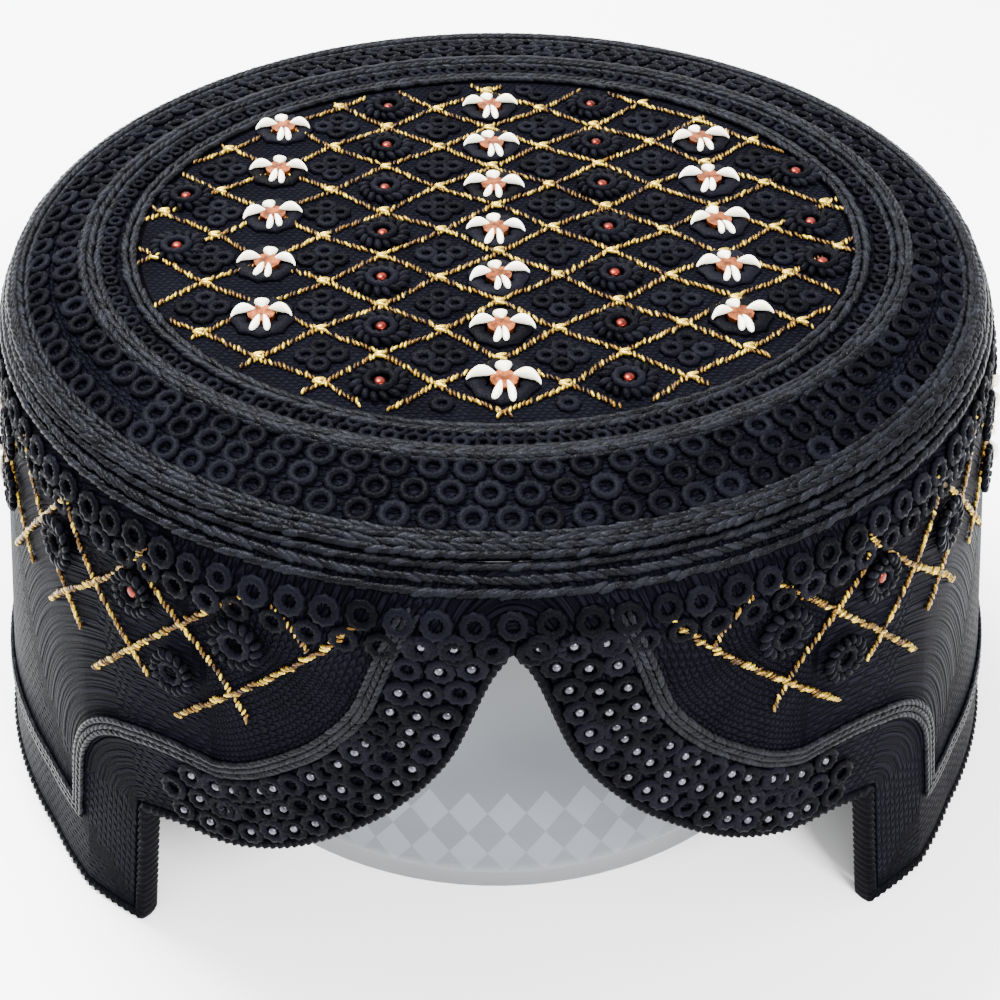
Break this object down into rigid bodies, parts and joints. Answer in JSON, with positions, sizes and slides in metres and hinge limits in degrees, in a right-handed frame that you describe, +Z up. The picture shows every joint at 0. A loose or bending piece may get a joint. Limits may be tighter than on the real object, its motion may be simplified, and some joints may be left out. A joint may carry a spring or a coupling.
{
  "type": "sindhi cap on an upturned glass bowl",
  "caption": "Round black Sindhi cap with gold lattice, cream flowers, eyelets and a cusped front arch, resting on an upturned clear glass bowl",
  "frame": {"origin": "middle of the base, on the table", "axes": "+Z up, the front arch faces -Y, +X to the right as the arch is looked at"},
  "size_m": [0.191, 0.1719, 0.0965],
  "materials": {
    "crown_cloth": "matte",
    "band_cloth": "matte",
    "binding_braid": "matte",
    "rim_stitch": "satin",
    "black_stitch": "satin",
    "mirror": "polished",
    "bowl_glass": "gloss"
  },
  "bodies": {
    "root": {"crown": "crown_cloth", "side_band": "band_cloth", "edge_binding": "binding_braid", "rim_cord": "rim_stitch", "ring_cord": "rim_stitch", "medallion_cord": "black_stitch", "glass_bowl": "bowl_glass", "flower_mirror_01": "mirror", "flower_mirror_02": "mirror", "flower_mirror_03": "mirror", "flower_mirror_04": "mirror", "flower_mirror_05": "mirror", "flower_mirror_06": "mirror", "flower_mirror_07": "mirror", "flower_mirror_08": "mirror", "flower_mirror_09": "mirror", "flower_mirror_10": "mirror", "flower_mirror_11": "mirror", "flower_mirror_12": "mirror", "flower_mirror_13": "mirror", "flower_mirror_14": "mirror", "flower_mirror_15": "mirror", "flower_mirror_16": "mirror", "flower_mirror_17": "mirror"}
  },
  "joints": []
}
